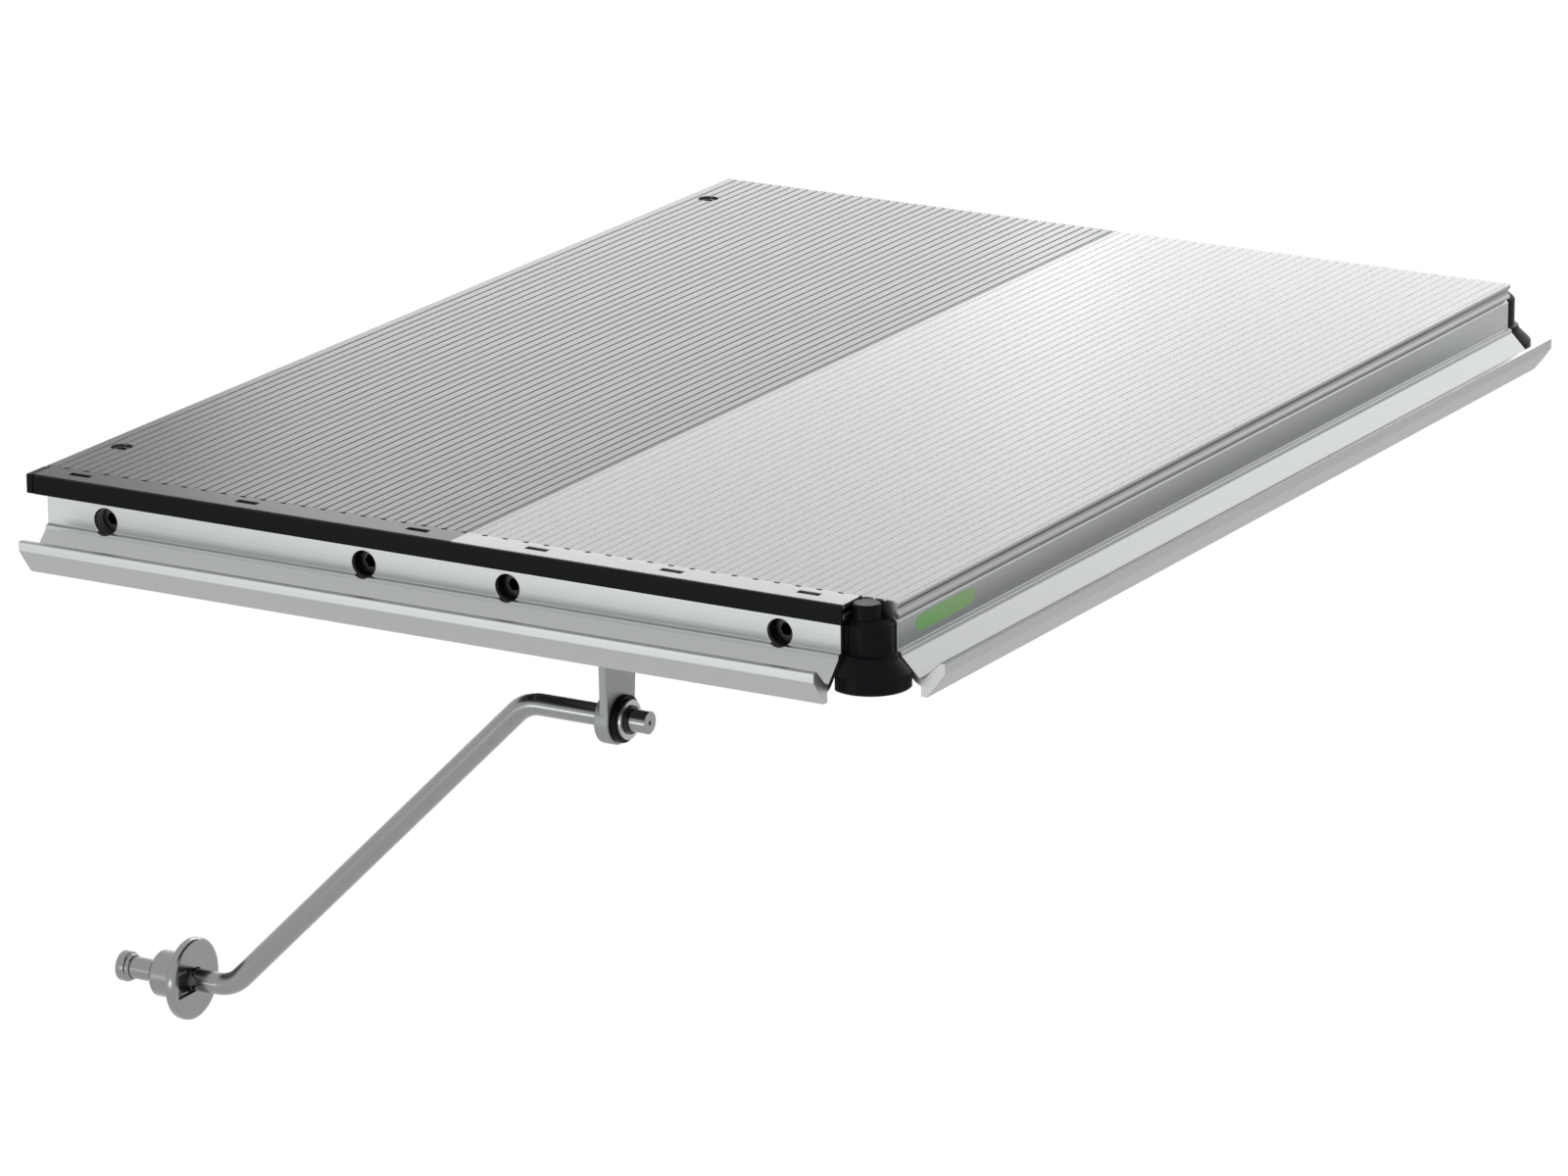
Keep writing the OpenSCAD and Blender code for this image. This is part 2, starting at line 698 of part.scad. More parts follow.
module side_nut_bar() {
    bar_l = 2 * (half_l - side_bolt_end) + 3 * nut_bar_h;
    x0 = side_box_x + rail_wall;
    color(steel) difference() {
        translate([x0, -bar_l / 2, -side_bolt_z - nut_bar_h / 2])
            cube([nut_bar_t, bar_l, nut_bar_h]);
        for (y = side_bolt_y) translate([0, y, -side_bolt_z])
            rod_x(side_bolt_d, x0 - eps, x0 + nut_bar_t + eps);
    }
}

module top_bar_screws() {
    color(steel) for (x = bar_screw_x)
        translate([x, -half_l - rail_depth / 2, rail_top + bar_wall]) {
            cylinder(d = bar_head_d, h = bar_head_h, $fn = round_fn);
            translate([0, 0, -bar_wall - rail_wall - 1])
                cylinder(d = bar_screw_d, h = bar_wall + rail_wall + 2, $fn = round_fn);
        }
}

// Black screws recessed in the joining edge, one above each locating foot
module edge_screws() {
    color(black) for (s = [-1, 1]) translate([foot_screw_x, s * foot_screw_y, 0])
        difference() {
            union() {
                translate([0, 0, -recess_h])
                    cylinder(d = foot_head_d, h = foot_head_h, $fn = round_fn);
                translate([0, 0, -edge_h - foot_screw_grip])
                    cylinder(d = foot_screw_d - 2 * screw_play,
                        h = edge_h + foot_screw_grip - recess_h + eps, $fn = round_fn);
            }
            translate([0, 0, -recess_h + foot_head_h - 2.6])
                cylinder(d = foot_screw_d * 0.9, h = 2.6 + eps, $fn = 6);
        }
}

// Wedge blocks that drop into the machine's own clamping groove
module groove_feet() {
    half_w = foot_block_w / 2;
    flat_w = groove_floor / 2 + foot_play / 2;
    wedge_low = groove_bottom + foot_play;
    wedge_top = wedge_low + half_w - flat_w;
    color(cast) for (s = [-1, 1]) translate([foot_screw_x, s * foot_screw_y, 0])
        difference() {
            along_y(foot_l) polygon([[-half_w, -edge_h], [half_w, -edge_h],
                [half_w, wedge_top], [flat_w, wedge_low], [-flat_w, wedge_low],
                [-half_w, wedge_top]]);
            translate([0, 0, -edge_h - foot_screw_grip - 2])
                cylinder(d = foot_screw_d, h = foot_screw_grip + 2 + eps, $fn = round_fn);
        }
}

// Cast bracket: a base under the panel, a tapering plate and a bearing boss
module strut_bracket() {
    base_top = web_low;
    side_y = boss_r - 0.5;
    waist_y = side_y + 2;
    color(cast) difference() {
        union() {
            translate([tslot_x - base_w / 2, pivot_at_y - base_l / 2, base_top - base_t])
                cube([base_w, base_l, base_t]);
            translate([plate_x0, pivot_at_y, 0]) rotate([90, 0, 90])
                linear_extrude(height = plate_t) polygon([
                    [-plate_w / 2, base_top - base_t + 1], [plate_w / 2, base_top - base_t + 1],
                    [waist_y, -pivot_z + plate_waist], [side_y, -pivot_z],
                    [-side_y, -pivot_z], [-waist_y, -pivot_z + plate_waist]]);
            for (s = [-1, 1])
                translate([tslot_x, pivot_at_y + s * (plate_w - plate_t) / 2, 0]) rotate([90, 0, 0]) linear_extrude(height = plate_t, center = true)
                    polygon([[-base_w / 2 + 1, base_top - base_t + 1],
                        [base_w / 2 - 1, base_top - base_t + 1],
                        [plate_t / 2, base_top - base_t - 12],
                        [-plate_t / 2, base_top - base_t - 12]]);
            translate([0, pivot_at_y, -pivot_z]) rod_x(2 * boss_r, boss_x0, plate_x1);
        }
        translate([0, pivot_at_y, -pivot_z]) rod_x(bush_d, boss_x0 - eps, plate_x1 + eps);
        for (s = [-1, 1])
            translate([tslot_x, pivot_at_y + s * base_screw_y, base_top - base_t - eps])
                cylinder(d = base_screw_d + 2 * hole_play, h = base_t + 2 * eps,
                    $fn = round_fn);
    }
}

module bracket_screws() {
    color(steel) for (s = [-1, 1])
        translate([tslot_x, pivot_at_y + s * base_screw_y, web_low - base_t]) {
            translate([0, 0, -base_head_h])
                cylinder(d = base_head_d, h = base_head_h, $fn = 6);
            translate([0, 0, -1]) cylinder(d = base_screw_d - 2 * screw_play,
                h = base_t + web_t + nut_h + 2, $fn = round_fn);
        }
}

module bracket_nuts() {
    color(steel) for (s = [-1, 1])
        translate([tslot_x, pivot_at_y + s * base_screw_y, web_low + web_t]) difference() {
            translate([-nut_w / 2, -nut_w / 2, 0]) cube([nut_w, nut_w, nut_h]);
            translate([0, 0, -eps])
                cylinder(d = base_screw_d, h = nut_h + 2 * eps, $fn = round_fn);
        }
}

module pivot_bush() {
    color(black) translate([0, pivot_at_y, -pivot_z]) difference() {
        rod_x(bush_d - 2 * run_play, boss_x0, plate_x1);
        rod_x(rod_d + 2 * run_play, boss_x0 - eps, plate_x1 + eps);
    }
}

// Bend of 45 degrees, which starts at the origin along +Z and turns towards -X
module rod_bend() {
    translate([-bend_r, 0, 0]) rotate([90, 0, 0]) rotate_extrude(angle = 45, $fn = 96)
        translate([bend_r, 0]) circle(d = rod_d, $fn = round_fn);
}

// Places what follows a bend at the bend's end, along +Z again
module past_bend() {
    translate([-bend_r, 0, 0]) rotate([0, -45, 0]) translate([bend_r, 0, 0]) children();
}

module rod_length(length) {
    cylinder(d = rod_d, h = length, $fn = round_fn);
}

// Straight top end of the rod, with a centre hole and the groove of its retaining ring
module rod_top(length) {
    ring_z = rod_end - snap_at - snap_t;
    difference() {
        rod_length(length);
        translate([0, 0, -eps]) cylinder(d = rod_hole_d, h = eps + rod_hole_d, $fn = round_fn);
        translate([0, 0, ring_z]) difference() {
            cylinder(d = rod_d + eps, h = snap_t, $fn = round_fn);
            translate([0, 0, -eps])
                cylinder(d = snap_bore, h = snap_t + 2 * eps, $fn = round_fn);
        }
    }
}

// Round rod with two bends, from its end in the bracket down to the plug
module strut_rod() {
    top_l = rod_end + bend_x - bend_cut;
    slope_l = strut_drop * sqrt(2) - 2 * bend_cut;
    low_l = bend_low_x - bend_cut - rod_x0;
    color(steel) translate([plate_x1 + rod_end, pivot_at_y, -pivot_z]) rotate([0, -90, 0]) {
        rod_top(top_l);
        translate([0, 0, top_l]) {
            rod_bend();
            past_bend() {
                rod_length(slope_l);
                translate([0, 0, slope_l]) rotate([0, 0, 180]) {
                    rod_bend();
                    past_bend() rod_length(low_l);
                }
            }
        }
    }
}

// Flange and plug in one turned piece, with a recess on the flange's outer face
module stud_flange() {
    color(steel) translate([0, pivot_at_y, strut_low_z]) difference() {
        union() {
            rod_x(flange_d, flange_face_x - flange_t, flange_face_x);
            rod_x(hub_d, hub_x0, flange_face_x - flange_t + 0.5);
        }
        rod_x(rod_d, hub_x0 - eps, flange_face_x + eps);
        translate([flange_face_x - flange_slot_d, -flange_slot_l, -flange_slot_w / 2])
            cube([flange_slot_d + eps, flange_slot_l, flange_slot_w]);
        rod_x(flange_slot_w, flange_face_x - flange_slot_d, flange_face_x + eps);
    }
}

module end_knob() {
    color(steel) translate([0, pivot_at_y, strut_low_z]) difference() {
        rod_x(end_knob_d, knob_x0 - end_knob_t, knob_x0);
        rod_x(rod_d, rod_x0, knob_x0 + eps);
    }
}

module pivot_washer() {
    color(alu_light) translate([plate_x1 + ring_gap + ring_t, pivot_at_y, -pivot_z])
        difference() {
            rod_x(washer_d, 0, washer_t);
            rod_x(rod_d + 2 * screw_play, -eps, washer_t + eps);
        }
}

module rubber_ring() {
    color(black) translate([plate_x1 + ring_gap, pivot_at_y, -pivot_z]) difference() {
        rod_x(ring_d, 0, ring_t);
        rod_x(rod_d + 2 * screw_play, -eps, ring_t + eps);
    }
}

module retaining_ring() {
    color(dark_steel) translate([plate_x1 + snap_at, pivot_at_y, -pivot_z]) difference() {
        rod_x(rod_d + snap_rim, 0, snap_t);
        rod_x(snap_bore, -eps, snap_t + eps);
    }
}

panel_left();
panel_right();
front_rail();
rear_rail();
side_rail();
front_top_bar();
edge_strip();
bar_end_cap();
corner_front();
corner_rear();
front_rail_screws();
rear_rail_screws();
side_rail_bolts();
side_nut_bar();
top_bar_screws();
edge_screws();
groove_feet();
strut_bracket();
bracket_screws();
bracket_nuts();
pivot_bush();
strut_rod();
stud_flange();
end_knob();
pivot_washer();
rubber_ring();
retaining_ring();
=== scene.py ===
# %% [markdown]
# # A side extension table for a benchtop saw
# Two ribbed aluminium panels lie side by side and form the top. A rail with a V-shaped
# clamping groove runs along three of its sides, and a bent steel rod hangs from a bracket
# and plugs into the machine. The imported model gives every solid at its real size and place,
# so this script is about finishes: it dresses the solids, adds the few pieces that only
# the eye needs, and sets up a plain studio. One unit is one metre.

import math

import bpy
import numpy as np
from mathutils import Matrix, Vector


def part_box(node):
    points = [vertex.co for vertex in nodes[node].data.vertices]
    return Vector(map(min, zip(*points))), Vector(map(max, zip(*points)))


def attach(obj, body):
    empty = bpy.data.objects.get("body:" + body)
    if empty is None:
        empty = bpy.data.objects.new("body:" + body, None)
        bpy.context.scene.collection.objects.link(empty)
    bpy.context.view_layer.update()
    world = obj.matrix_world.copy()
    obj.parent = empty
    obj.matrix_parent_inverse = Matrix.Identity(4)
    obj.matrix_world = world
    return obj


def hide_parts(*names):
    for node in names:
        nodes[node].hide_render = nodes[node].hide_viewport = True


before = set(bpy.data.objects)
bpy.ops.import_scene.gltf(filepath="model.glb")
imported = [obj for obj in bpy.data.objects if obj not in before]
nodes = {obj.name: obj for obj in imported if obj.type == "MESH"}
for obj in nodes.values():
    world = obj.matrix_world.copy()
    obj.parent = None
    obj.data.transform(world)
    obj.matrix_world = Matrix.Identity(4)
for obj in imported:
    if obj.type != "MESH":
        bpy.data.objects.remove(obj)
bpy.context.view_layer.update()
MM = 0.001

# %% [markdown]
# ## The camera
# The photograph was taken with a long lens from the front right, a little above the top.
# A long lens keeps parallel edges nearly parallel. The place, pan, tilt and roll below were
# worked out from the four corners of the top, whose real distances are known.

# %% Make the camera
CAMERA_PLACE = (2.4285, -3.7825, 1.1955)
CAMERA_TILT_DOWN = 16.778
CAMERA_PAN_LEFT = 30.105
CAMERA_ROLL = -0.332
CAMERA_LENS_MM = 195.10
SENSOR_MM = 36.0

camera_data = bpy.data.cameras.new("camera")
camera_data.sensor_width = SENSOR_MM
camera_data.lens = CAMERA_LENS_MM
camera_data.clip_start = 0.1
camera_data.clip_end = 60.0
camera = bpy.data.objects.new("camera", camera_data)
camera.matrix_world = (
    Matrix.Translation(CAMERA_PLACE)
    @ Matrix.Rotation(math.radians(CAMERA_PAN_LEFT), 4, "Z")
    @ Matrix.Rotation(math.radians(90.0 - CAMERA_TILT_DOWN), 4, "X")
    @ Matrix.Rotation(math.radians(CAMERA_ROLL), 4, "Z")
)
bpy.context.scene.collection.objects.link(camera)
bpy.context.scene.camera = camera
print("camera stands at", CAMERA_PLACE)

# %% [markdown]
# ## The studio
# Metal shows its surroundings, so the studio is part of the finish. The background is white
# wherever a ray shows it: to the camera, in a reflection or through glass. Three low lamps
# behind the table are mirrored in the ribbed top and brighten it towards its far end, as in
# the photograph. A fourth one, low at the front left, lights the faces of the front rail.

# %% World
WORLD_LIGHT = 0.75
WORLD_SEEN = 1.0


def link(tree, start, end):
    """Join an output socket to an input socket of a node tree."""
    tree.links.new(start, end)


def background_rays(tree):
    """One for a ray that shows the background: to the eye, in a mirror or through glass."""
    path = tree.nodes.new("ShaderNodeLightPath")
    kinds = [path.outputs[f"Is {kind} Ray"] for kind in ("Camera", "Glossy", "Transmission")]
    total = kinds[0]
    for kind in kinds[1:]:
        either = tree.nodes.new("ShaderNodeMath")
        either.operation = "MAXIMUM"
        link(tree, total, either.inputs[0])
        link(tree, kind, either.inputs[1])
        total = either.outputs["Value"]
    return total


world = bpy.data.worlds.new("studio")
bpy.context.scene.world = world
world.use_nodes = True
world_tree = world.node_tree
world_tree.nodes.clear()
world_out = world_tree.nodes.new("ShaderNodeOutputWorld")
world_colour = world_tree.nodes.new("ShaderNodeBackground")
world_level = world_tree.nodes.new("ShaderNodeMapRange")
world_level.inputs["To Min"].default_value = WORLD_LIGHT
world_level.inputs["To Max"].default_value = WORLD_SEEN
link(world_tree, background_rays(world_tree), world_level.inputs["Value"])
link(world_tree, world_level.outputs["Result"], world_colour.inputs["Strength"])
world_colour.inputs["Color"].default_value = (1.0, 1.0, 1.0, 1.0)
link(world_tree, world_colour.outputs["Background"], world_out.inputs["Surface"])
bpy.context.scene.view_settings.view_transform = "Standard"
print("world lights at", WORLD_LIGHT, "and shows at", WORLD_SEEN)

# %% [markdown]
# A soft box in a studio is a lamp behind a sheet of cloth. An area lamp of the same size
# does this here, and it is hidden from the camera, so that only its light is seen.

# %% Lamps
def soft_lamp(name, place, aim, size, watts):
    """A rectangular lamp of the given size that faces the point aim."""
    data = bpy.data.lights.new(name, "AREA")
    data.shape = "RECTANGLE"
    data.size, data.size_y = size
    data.energy = watts
    lamp = bpy.data.objects.new(name, data)
    away = np.array(place) - np.array(aim)
    back = away / np.linalg.norm(away)
    side = np.cross((0.0, 0.0, 1.0), back)
    side /= np.linalg.norm(side)
    turn = Matrix(np.array([side, np.cross(back, side), back]).T.tolist())
    lamp.matrix_world = Matrix.Translation(place) @ turn.to_4x4()
    lamp.visible_camera = False
    bpy.context.scene.collection.objects.link(lamp)


TABLE_MIDDLE = (0.25, 0.0, -0.05)
LOW_BOX, SQUARE_BOX, WIDE_BOX = (0.6, 0.48), (0.6, 0.6), (1.2, 0.6)
soft_lamp("behind_left", (-0.45, 1.0, 0.24), TABLE_MIDDLE, LOW_BOX, 2.4)
soft_lamp("behind", (0.15, 1.0, 0.24), TABLE_MIDDLE, LOW_BOX, 1.85)
soft_lamp("behind_right", (0.8, 1.0, 0.45), TABLE_MIDDLE, SQUARE_BOX, 1.15)
soft_lamp("front_left", (-0.7, -2.6, -0.4), TABLE_MIDDLE, WIDE_BOX, 6.4)
print("lamps:", [lamp.name for lamp in bpy.data.lights])

# %% [markdown]
# ## The floor
# The table is held up by the machine it is fixed to, so nothing touches the floor. It lies
# as far down as a workshop floor lies under a bench top. The camera and reflections see it
# as plain white, so no shadow shows on it from any side; all other light meets a pale floor.

# %% Make the floor
FLOOR_DEPTH = -0.86
FLOOR_REACH = 14.0
FLOOR_COLOUR = (0.82, 0.82, 0.82, 1.0)


def new_mesh_object(name, points, faces):
    """A mesh object at the origin, from an array of points and a list of faces."""
    mesh = bpy.data.meshes.new(name)
    mesh.from_pydata(points.tolist(), [], faces)
    mesh.update()
    made = bpy.data.objects.new(name, mesh)
    bpy.context.scene.collection.objects.link(made)
    return made


def new_material(name):
    """An empty node material, with its tree and its output node."""
    material = bpy.data.materials.new(name)
    material.use_nodes = True
    tree = material.node_tree
    tree.nodes.clear()
    return material, tree, tree.nodes.new("ShaderNodeOutputMaterial")


floor_corners = FLOOR_REACH * np.array([[-1, -1, 0], [1, -1, 0], [1, 1, 0], [-1, 1, 0]])
floor_corners[:, 2] = FLOOR_DEPTH
floor = new_mesh_object("floor", floor_corners, [[0, 1, 2, 3]])
floor_material, floor_tree, floor_out = new_material("pale_floor")
floor_paint = floor_tree.nodes.new("ShaderNodeBsdfDiffuse")
floor_paint.inputs["Color"].default_value = FLOOR_COLOUR
floor_glow = floor_tree.nodes.new("ShaderNodeEmission")
floor_glow.inputs["Strength"].default_value = WORLD_SEEN
floor_mix = floor_tree.nodes.new("ShaderNodeMixShader")
link(floor_tree, background_rays(floor_tree), floor_mix.inputs["Fac"])
link(floor_tree, floor_paint.outputs["BSDF"], floor_mix.inputs[1])
link(floor_tree, floor_glow.outputs["Emission"], floor_mix.inputs[2])
link(floor_tree, floor_mix.outputs["Shader"], floor_out.inputs["Surface"])
floor.data.materials.append(floor_material)
print("floor lies at", FLOOR_DEPTH, "m")

# %% [markdown]
# ## Softened edges
# A drawing has sharp edges, and a made thing has none: an extrusion leaves its die with
# small radii, and a sawn end is deburred. The solids arrive as loose triangles, so each one
# is first welded, then its flat faces are joined up, and a narrow bevel rounds what is left
# of its sharp edges. All of this is done by modifiers, so the solid itself stays untouched.

# %% Round the edges of the solids
WELD_DISTANCE = 0.004 * MM
FLAT_ANGLE = math.radians(0.6)
SHARP_ANGLE = math.radians(28.0)
BEVEL_SEGMENTS = 2


def soften(name, radius_mm):
    """Weld a solid, join its flat faces and round its sharp edges by the given radius."""
    solid = nodes[name]
    weld = solid.modifiers.new("weld", "WELD")
    weld.merge_threshold = WELD_DISTANCE
    flat = solid.modifiers.new("flat", "DECIMATE")
    flat.decimate_type = "DISSOLVE"
    flat.angle_limit = FLAT_ANGLE
    bevel = solid.modifiers.new("bevel", "BEVEL")
    bevel.width = radius_mm * MM
    bevel.segments = BEVEL_SEGMENTS
    bevel.limit_method = "ANGLE"
    bevel.angle_limit = SHARP_ANGLE
    bevel.use_clamp_overlap = False
    bevel.harden_normals = True
    evened = solid.modifiers.new("evened", "WEIGHTED_NORMAL")
    evened.keep_sharp = True
    for polygon in solid.data.polygons:
        polygon.use_smooth = True


EDGE_RADII_MM = {
    "panel_left": 0.12,
    "panel_right": 0.12,
    "front_rail": 0.35,
    "rear_rail": 0.35,
    "side_rail": 0.35,
    "front_top_bar": 0.25,
    "edge_strip": 0.3,
    "bar_end_cap": 0.5,
    "corner_front": 0.4,
    "corner_rear": 0.4,
    "groove_feet": 0.6,
    "strut_bracket": 0.8,
    "bracket_screws": 0.3,
    "bracket_nuts": 0.3,
    "side_rail_bolts": 0.3,
    "side_nut_bar": 0.3,
    "top_bar_screws": 0.2,
    "front_rail_screws": 0.3,
    "rear_rail_screws": 0.3,
    "edge_screws": 0.3,
    "pivot_washer": 0.15,
    "rubber_ring": 0.1,
    "retaining_ring": 0.15,
    "pivot_bush": 0.2,
    "strut_rod": 0.2,
}
for node_name, radius in EDGE_RADII_MM.items():
    soften(node_name, radius)
print("softened", len(EDGE_RADII_MM), "solids")

# %% [markdown]
# ## Shared surface effects
# Several finishes need the same few effects, so each effect is a node group with named
# inputs. `drawn_lines` is what an extrusion die or a drawing plate leaves: noise that is
# stretched along the length until it is a set of fine lines. `cloudy_tone` is the slow
# change of brightness over a large surface. `fine_speckle` is the grain of a blasted,
# cast or moulded surface.

# %% Helpers for node groups
INPUT_KINDS = {"vector": "NodeSocketVector", "number": "NodeSocketFloat"}


def start_group(name, inputs, outputs):
    """An empty shader node group: inputs maps each name to its kind, outputs lists names."""
    group = bpy.data.node_groups.new(name, "ShaderNodeTree")
    for label, kind in inputs.items():
        group.interface.new_socket(name=label, in_out="INPUT", socket_type=INPUT_KINDS[kind])
    for label in outputs:
        group.interface.new_socket(name=label, in_out="OUTPUT", socket_type="NodeSocketFloat")
    return group, group.nodes.new("NodeGroupInput"), group.nodes.new("NodeGroupOutput")


def stretched_noise(tree, place, stretch, detail):
    """Noise read at place times stretch; both are output sockets."""
    scaled = tree.nodes.new("ShaderNodeVectorMath")
    scaled.operation = "MULTIPLY"
    noise = tree.nodes.new("ShaderNodeTexNoise")
    noise.inputs["Scale"].default_value = 1.0
    noise.inputs["Detail"].default_value = detail
    link(tree, place, scaled.inputs[0])
    link(tree, stretch, scaled.inputs[1])
    link(tree, scaled.outputs["Vector"], noise.inputs["Vector"])
    return noise.outputs["Fac"]


NOISE_MIDDLE = 0.5


def centred(tree, value, amount):
    """One plus amount times a noise value that was moved to lie around zero."""
    shifted = tree.nodes.new("ShaderNodeMath")
    shifted.operation = "SUBTRACT"
    shifted.inputs[1].default_value = NOISE_MIDDLE
    scaled = tree.nodes.new("ShaderNodeMath")
    scaled.operation = "MULTIPLY_ADD"
    scaled.inputs[2].default_value = 1.0
    link(tree, value, shifted.inputs[0])
    link(tree, shifted.outputs["Value"], scaled.inputs[0])
    link(tree, amount, scaled.inputs[1])
    return scaled.outputs["Value"]


print("inputs of a group can be:", list(INPUT_KINDS))

# %% [markdown]
# Lines and speckle are the same noise, with more or less fine detail in it, so one function
# makes both. Each gives a height for the bump node and a tone around one for the colour.

# %% Make the groups
LINE_DETAIL, CLOUD_DETAIL, SPECKLE_DETAIL = 3.0, 2.0, 6.0


def make_grain(name, detail):
    """A grain as a height for bump and a tone around one."""
    group, given, result = start_group(
        name,
        {"Place": "vector", "Stretch": "vector", "Tone amount": "number"},
        ["Height", "Tone"],
    )
    grain = stretched_noise(group, given.outputs["Place"], given.outputs["Stretch"], detail)
    link(group, grain, result.inputs["Height"])
    link(group, centred(group, grain, given.outputs["Tone amount"]), result.inputs["Tone"])
    return group


def make_cloudy_tone():
    """Slow, soft change over a surface, as a factor around one."""
    group, given, result = start_group(
        "cloudy_tone", {"Place": "vector", "Stretch": "vector", "Amount": "number"}, ["Tone"]
    )
    place, stretch = given.outputs["Place"], given.outputs["Stretch"]
    cloud = stretched_noise(group, place, stretch, CLOUD_DETAIL)
    link(group, centred(group, cloud, given.outputs["Amount"]), result.inputs["Tone"])
    return group


drawn_lines = make_grain("drawn_lines", LINE_DETAIL)
cloudy_tone = make_cloudy_tone()
fine_speckle = make_grain("fine_speckle", SPECKLE_DETAIL)
print("node groups:", [group.name for group in bpy.data.node_groups])

# %% [markdown]
# ## Building a finish
# Every finish here is one Principled shader. Its base colour is multiplied by the tones of
# the effects, its roughness is nudged by the slow one, and the heights feed one bump node.
# A small recipe function keeps that wiring in one place, so each material below is only its
# own colour, shine and grain.

# %% The recipe for a finish
def add_group(tree, group, place, stretch, amount, amount_name):
    """Put a node group into a material, with its own stretch and amount."""
    node = tree.nodes.new("ShaderNodeGroup")
    node.node_tree = group
    node.inputs["Stretch"].default_value = stretch
    node.inputs[amount_name].default_value = amount
    link(tree, place, node.inputs["Place"])
    return node


def multiply(tree, first, second):
    """The product of two number sockets."""
    product = tree.nodes.new("ShaderNodeMath")
    product.operation = "MULTIPLY"
    link(tree, first, product.inputs[0])
    link(tree, second, product.inputs[1])
    return product.outputs["Value"]


def tone_along(axis, start_mm, end_mm, start_tone, end_tone):
    """A tone that goes from one value to another between two places on an axis."""

    def build(tree, place):
        axes = tree.nodes.new("ShaderNodeSeparateXYZ")
        ramp = tree.nodes.new("ShaderNodeMapRange")
        ramp.inputs["From Min"].default_value = start_mm * MM
        ramp.inputs["From Max"].default_value = end_mm * MM
        ramp.inputs["To Min"].default_value = start_tone
        ramp.inputs["To Max"].default_value = end_tone
        link(tree, place, axes.inputs["Vector"])
        link(tree, axes.outputs[axis], ramp.inputs["Value"])
        return ramp.outputs["Result"]

    return build


def finish(
    name, colour, metallic, roughness, grain, cloud, bump_mm,
    specular=0.5, tones=(), edge=1.0, painted_shade_marks=None,
):
    """A finish: grain is (group, stretch, tone amount), cloud is (stretch, amount).

    tones are functions that each build one more tone, which multiplies the colour, and
    edge is how much of a metal's usual gain towards grazing view is left. The last argument
    is one more such function: painted shade whose tone darkens that gain as well, for marks
    that stay black.
    """
    material, tree, out = new_material(name)
    shader = tree.nodes.new("ShaderNodeBsdfPrincipled")
    shader.inputs["Metallic"].default_value = metallic
    shader.inputs["Specular IOR Level"].default_value = specular
    shader.inputs["Specular Tint"].default_value = (edge, edge, edge, 1.0)
    link(tree, shader.outputs["BSDF"], out.inputs["Surface"])
    place = tree.nodes.new("ShaderNodeTexCoord").outputs["Object"]
    lines = add_group(tree, grain[0], place, grain[1], grain[2], "Tone amount")
    slow = add_group(tree, cloudy_tone, place, cloud[0], cloud[1], "Amount")
    tone = multiply(tree, lines.outputs["Tone"], slow.outputs["Tone"])
    for build in tones:
        tone = multiply(tree, tone, build(tree, place))
    if painted_shade_marks:
        painted_shade_spot = painted_shade_marks(tree, place)
        tone = multiply(tree, tone, painted_shade_spot)
        rim = tree.nodes.new("ShaderNodeVectorMath")
        rim.operation = "SCALE"
        rim.inputs[0].default_value = (edge, edge, edge)
        link(tree, painted_shade_spot, rim.inputs["Scale"])
        link(tree, rim.outputs["Vector"], shader.inputs["Specular Tint"])
    paint = tree.nodes.new("ShaderNodeVectorMath")
    paint.operation = "SCALE"
    paint.inputs[0].default_value = colour
    link(tree, tone, paint.inputs["Scale"])
    link(tree, paint.outputs["Vector"], shader.inputs["Base Color"])
    shine = tree.nodes.new("ShaderNodeMath")
    shine.operation = "MULTIPLY"
    shine.inputs[1].default_value = roughness
    link(tree, slow.outputs["Tone"], shine.inputs[0])
    link(tree, shine.outputs["Value"], shader.inputs["Roughness"])
    bump = tree.nodes.new("ShaderNodeBump")
    bump.inputs["Distance"].default_value = bump_mm * MM
    link(tree, lines.outputs["Height"], bump.inputs["Height"])
    link(tree, bump.outputs["Normal"], shader.inputs["Normal"])
    return material


def dress(material, *names):
    """Give the named solids this finish."""
    for name in names:
        nodes[name].data.materials.clear()
        nodes[name].data.materials.append(material)


print("the recipe can use:", [group.name for group in (drawn_lines, fine_speckle)])

# %% [markdown]
# ## Aluminium
# The panels and rails are plain extruded aluminium with a matt satin skin. The die leaves
# lines along the length of each profile, so the noise is stretched along Y on the panels
# and the side rail, and along X on the front and rear rails. The inner panel is given a
# darker copy of the finish, painted shade for its dimmer reflection, and the front bar in
# front of it is darkened in the same way. The floors of the fine grooves are painted
# lighter, a painted brightening against the shade in their narrow hollows.

# %% Grain and tones of the aluminium
ALONG_Y = (1400.0, 3.0, 1400.0)
ALONG_X = (3.0, 1400.0, 1400.0)
LARGE_CLOUD = (2.5, 1.6, 2.5)
PANEL_GRAIN = (drawn_lines, ALONG_Y, 0.08)
RAIL_ACROSS_GRAIN = (drawn_lines, ALONG_X, 0.08)
SOFT_CLOUD = (LARGE_CLOUD, 0.08)
GROOVE_DEPTH = 0.5
BELOW_GROOVE_FROM, BELOW_GROOVE_TO = 0.1, 0.3
LEFT_GROOVE_PAINTED_LIFT, RIGHT_GROOVE_PAINTED_LIFT = 1.6, 2.2
PANEL_JOINT_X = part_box("panel_left")[1][0] / MM
JOINT_BLEND = 0.5
LEFT_PAINTED_SHADE_TONE = 0.31


